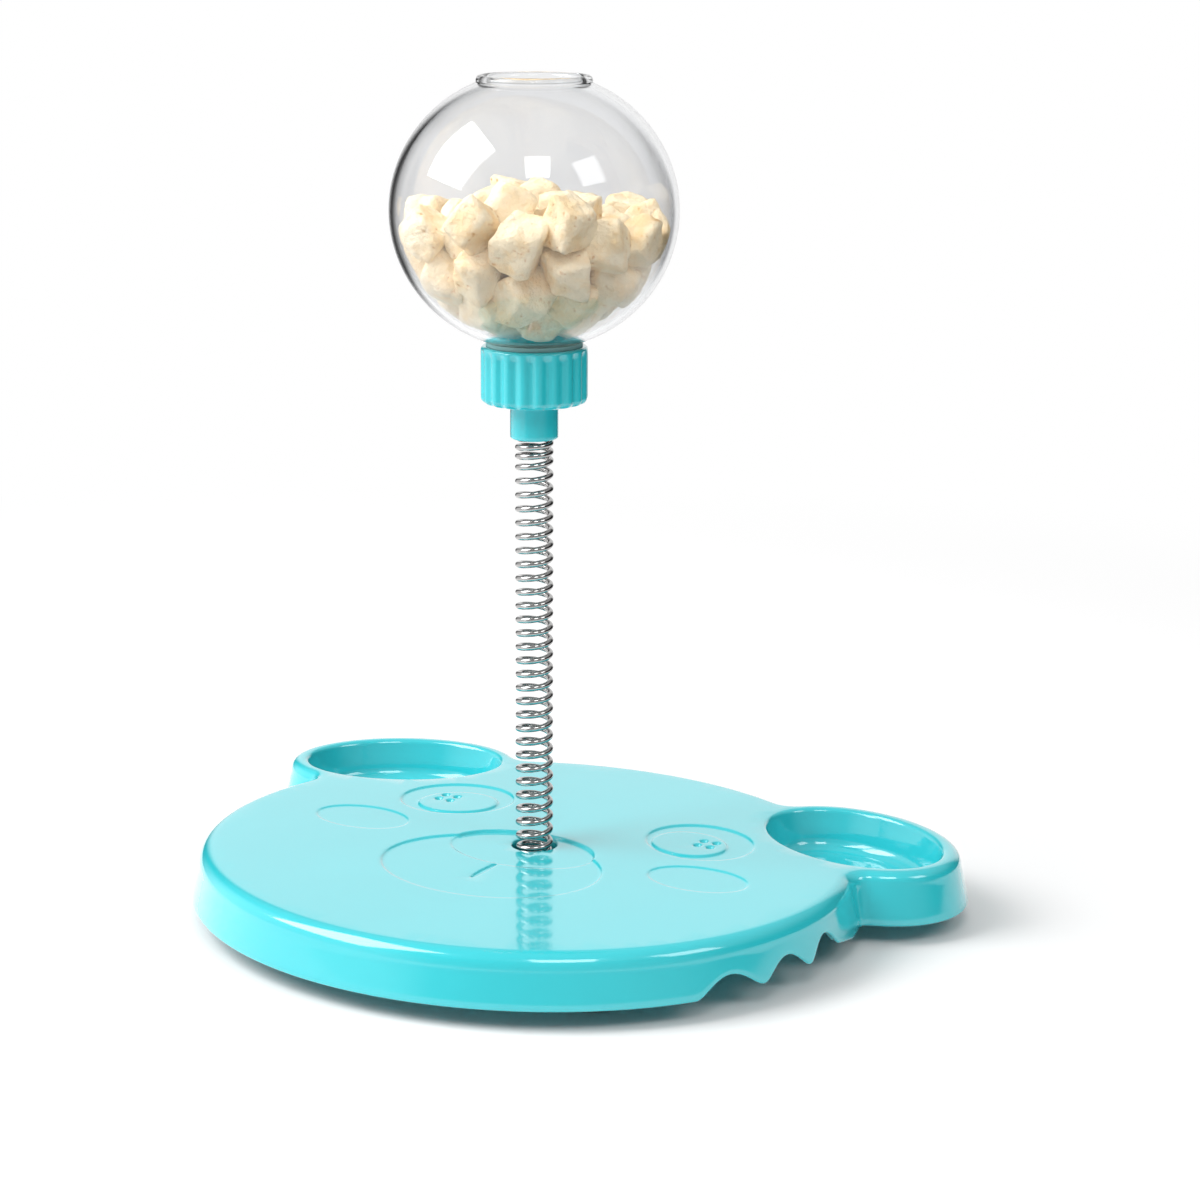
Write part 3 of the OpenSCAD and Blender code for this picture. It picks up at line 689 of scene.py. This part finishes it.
def settle(count):  # pushes seeded spheres apart inside the lower part of the ball and lets them sink
    size = rng.uniform(*treats["half"], count)
    reach = treats["startReach"]
    at = rng.uniform(-reach, reach, (count, 3)) * treatRoom - [0, 0, treats["startLow"]]
    farFromSelf = np.eye(count) * 1e3
    for _ in range(treats["rounds"]):
        at[:, 2] -= treats["sink"]
        between = at[:, None] - at[None]
        apart = np.linalg.norm(between, axis=2) + farFromSelf
        push = np.clip(size[:, None] + size[None] - apart, 0, None) / apart
        at += treats["push"] * (between * push[..., None]).sum(1)
        at[:, 2] = np.minimum(at[:, 2], treats["lid"])
        over = np.linalg.norm(at / (treatRoom - size[:, None]), axis=1)
        at /= np.maximum(over, 1)[:, None]
    return at, size


def randomTurns(count):  # seeded rotations: the axes of random matrices
    return np.linalg.qr(rng.normal(size=(count, 3, 3)))[0]


def treatPoints(at, size):
    # point(around, up) = direction times a soft least over the chunk's flat sides, which are those
    # of a skewed box and some cut corners, roughened by waves and kept inside the ball
    count, cuts, crisp = len(at), treats["cuts"], treats["crisp"]
    around = (np.arange(treats["around"]) * tau / treats["around"])[:, None]
    up = np.linspace(-math.pi / 2, math.pi / 2, treats["up"])[None, :]
    rayParts = [np.cos(up) * np.cos(around), np.cos(up) * np.sin(around), np.sin(up)]
    ray = np.stack(np.broadcast_arrays(*rayParts), -1)
    cube = np.concatenate([np.eye(3), -np.eye(3)])
    box = (cube[None] + rng.normal(0, treats["skew"], (count,) + cube.shape)) @ randomTurns(count)
    sides = np.concatenate([box, rng.normal(size=(count, cuts, 3))], 1)
    sides /= np.linalg.norm(sides, axis=2)[..., None]
    boxFar = rng.uniform(*treats["sideFar"], (count, len(cube)))
    far = np.concatenate([boxFar, rng.uniform(*treats["cutFar"], (count, cuts))], 1) * size[:, None]
    facing = np.clip(np.einsum("aux,tsx->taus", ray, sides), 0, None) / far[:, None, None]
    radius = (facing ** crisp).sum(-1) ** (-1 / crisp)
    lengths = np.repeat(treats["waveLengths"], treats["wavesEach"])
    depths = np.repeat(treats["waveDepths"], treats["wavesEach"])
    waves = rng.normal(size=(count, len(lengths), 3)) * lengths[:, None]
    shift = rng.uniform(0, tau, (count, len(lengths)))[:, None, None]
    rough = np.sin(np.einsum("aux,twx->tauw", ray, waves) + shift) @ depths
    chunks = ray * (radius * (1 + rough))[..., None] + at[:, None, None]
    return chunks / np.maximum(np.linalg.norm(chunks / treatRoom, axis=-1), 1)[..., None]


chunks = treatPoints(*settle(treats["count"])) + [axisX, axisY, ballZ]
treatObj = newMesh("treatFill", chunks, gridCopies(chunks, False), weld=treats["weld"])
treatObj.data.materials.append(treatCrust)
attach(treatObj, "ball")

print("plain CAD nodes")
plain = [
    (turquoise, ["anchor_plate", "cap_plug"]),
    (screwSteel, ["anchor_screws", "anchor_core_screw", "cap_plug_screw"]),
    (ringRubber, ["neck_ring"]),
    (footRubber, ["foot_front_left", "foot_front_right", "foot_rear_left", "foot_rear_right"]),
]
for material, names in plain:
    for name in names:
        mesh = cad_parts[name].data
        mesh.materials.clear()
        mesh.materials.append(material)

print("studio")
studio = dict(
    floorSize=30.0, floorTone=0.95, floorRough=0.9, floorShine=0.1, whiteFrom=0.3, whiteTo=0.6,
    roomTone=0.03, lampAim=Vector((0, 0, 0.08)),
)
walls = [  # direction as right, ahead and up from the camera, start and end of the fade, light
    ((0.137, 0.969, 0.208), 0.84, 0.95, 1.0),  # backdrop
    ((-1.0, 0.0, 0.0), 0.4, 0.85, 1.0),  # left hand
    ((0.0, -1.0, 0.0), 0.2, 0.9, 0.40),  # behind the camera
    ((0.0, 0.0, 1.0), 0.25, 0.8, 0.55),  # ceiling
]
lamps = [  # name, place, width, power
    ("keyLamp", (-0.85, -0.67, 1.07), 1.0, 21.0),
    ("frontLamp", (0.52, -0.76, 1.10), 0.42, 2.9),
    ("sideLamp", (1.13, -0.12, 1.0), 0.5, 3.0),
]
photoView = dict(
    at=Vector((0.3969, -0.6596, 0.2748)), forward=Vector((-0.47935, 0.84531, -0.23594)),
    roll=math.radians(0.30), lens=90.0, sensor=36.0, farEnd=60.0,
)


def roomLevel(toward):
    # light of the room in a direction: that of its brightest wall, where the walls turn with
    # the camera
    def fromCamera(axis):
        spaces = dict(vector_type="VECTOR", convert_from="CAMERA", convert_to="WORLD")
        return toward.put("VectorTransform", {0: axis}, **spaces)

    def along(first, second):
        sockets = {0: first, 1: second}
        return toward.put("VectorMath", sockets, out="Value", operation="DOT_PRODUCT")

    onFloor = {0: fromCamera((0, 0, 1)), 1: (1, 1, 0)}
    ahead = toward.put("VectorMath", onFloor, operation="MULTIPLY")
    ahead = toward.put("VectorMath", {0: ahead}, operation="NORMALIZE")
    axes = [fromCamera((1, 0, 0)), ahead, (0, 0, 1)]
    inRoom = toward.put("CombineXYZ", {i: along(toward, axis) for i, axis in enumerate(axes)})
    light = studio["roomTone"]
    for axis, start, end, tone in walls:
        wall = spread(along(inRoom, axis), start, end, 0.0, tone)
        light = toward.calc("MAXIMUM", light, wall)
    return light


def whiteSeen(light):  # plain white where the camera looks straight at it, the room's light elsewhere
    direct = light.put("LightPath", out="Is Camera Ray")
    return light.put("Mix", {0: direct, 2: light, 3: 1.0})


floorMesh = bpy.data.meshes.new("floor")
half = studio["floorSize"] / 2
floorCorners = [(-half, -half, 0), (half, -half, 0), (half, half, 0), (-half, half, 0)]
floorMesh.from_pydata(floorCorners, [], [(0, 1, 2, 3)])
floorObj = bpy.data.objects.new("floor", floorMesh)
bpy.context.scene.collection.objects.link(floorObj)
floorMat, floorShader, floorAt = startMaterial("floorPaper")
feed(floorAt, floorShader, BaseColor=(studio["floorTone"],) * 3 + (1.0,),
     Roughness=studio["floorRough"], SpecularIORLevel=studio["floorShine"])
paper = Flow(floorMat.node_tree, floorShader.outputs[0])
lit = roomLevel(floorAt.put("VectorMath", {0: floorAt}, operation="NORMALIZE"))
glow = floorAt.put("Emission", {"Color": whiteSeen(lit), "Strength": 1.0})
away = floorAt.put("VectorMath", {0: floorAt}, out="Value", operation="LENGTH")
far = spread(away, studio["whiteFrom"], studio["whiteTo"])
showSurface(floorMat, floorAt.put("MixShader", {0: far, 1: paper, 2: glow}))
floorMesh.materials.append(floorMat)

world = bpy.data.worlds.new("studioWorld")
bpy.context.scene.world = world
world.use_nodes = True
worldTree = world.node_tree
background = worldTree.nodes["Background"]
toward = Flow(worldTree, worldTree.nodes.new("ShaderNodeTexCoord").outputs["Generated"])
worldTree.links.new(whiteSeen(roomLevel(toward)).out, background.inputs["Strength"])
background.inputs["Color"].default_value = (1, 1, 1, 1)


def looking(at, forward):  # stands at a point and looks along a direction
    return Matrix.Translation(at) @ forward.to_track_quat("-Z", "Y").to_matrix().to_4x4()


for name, at, size, power in lamps:
    lamp = bpy.data.lights.new(name, "AREA")
    lamp.shape = "SQUARE"
    lamp.size = size
    lamp.energy = power
    lampObj = bpy.data.objects.new(name, lamp)
    lampObj.matrix_world = looking(at, studio["lampAim"] - Vector(at))
    bpy.context.scene.collection.objects.link(lampObj)

cameraData = bpy.data.cameras.new("photoCamera")
cameraData.lens = photoView["lens"]
cameraData.sensor_width = photoView["sensor"]
cameraData.clip_end = photoView["farEnd"]
cameraObj = bpy.data.objects.new("photoCamera", cameraData)
upright = looking(photoView["at"], photoView["forward"])
cameraObj.matrix_world = upright @ Matrix.Rotation(photoView["roll"], 4, "Z")
bpy.context.scene.collection.objects.link(cameraObj)
bpy.context.scene.camera = cameraObj
bpy.context.scene.view_settings.view_transform = "Standard"
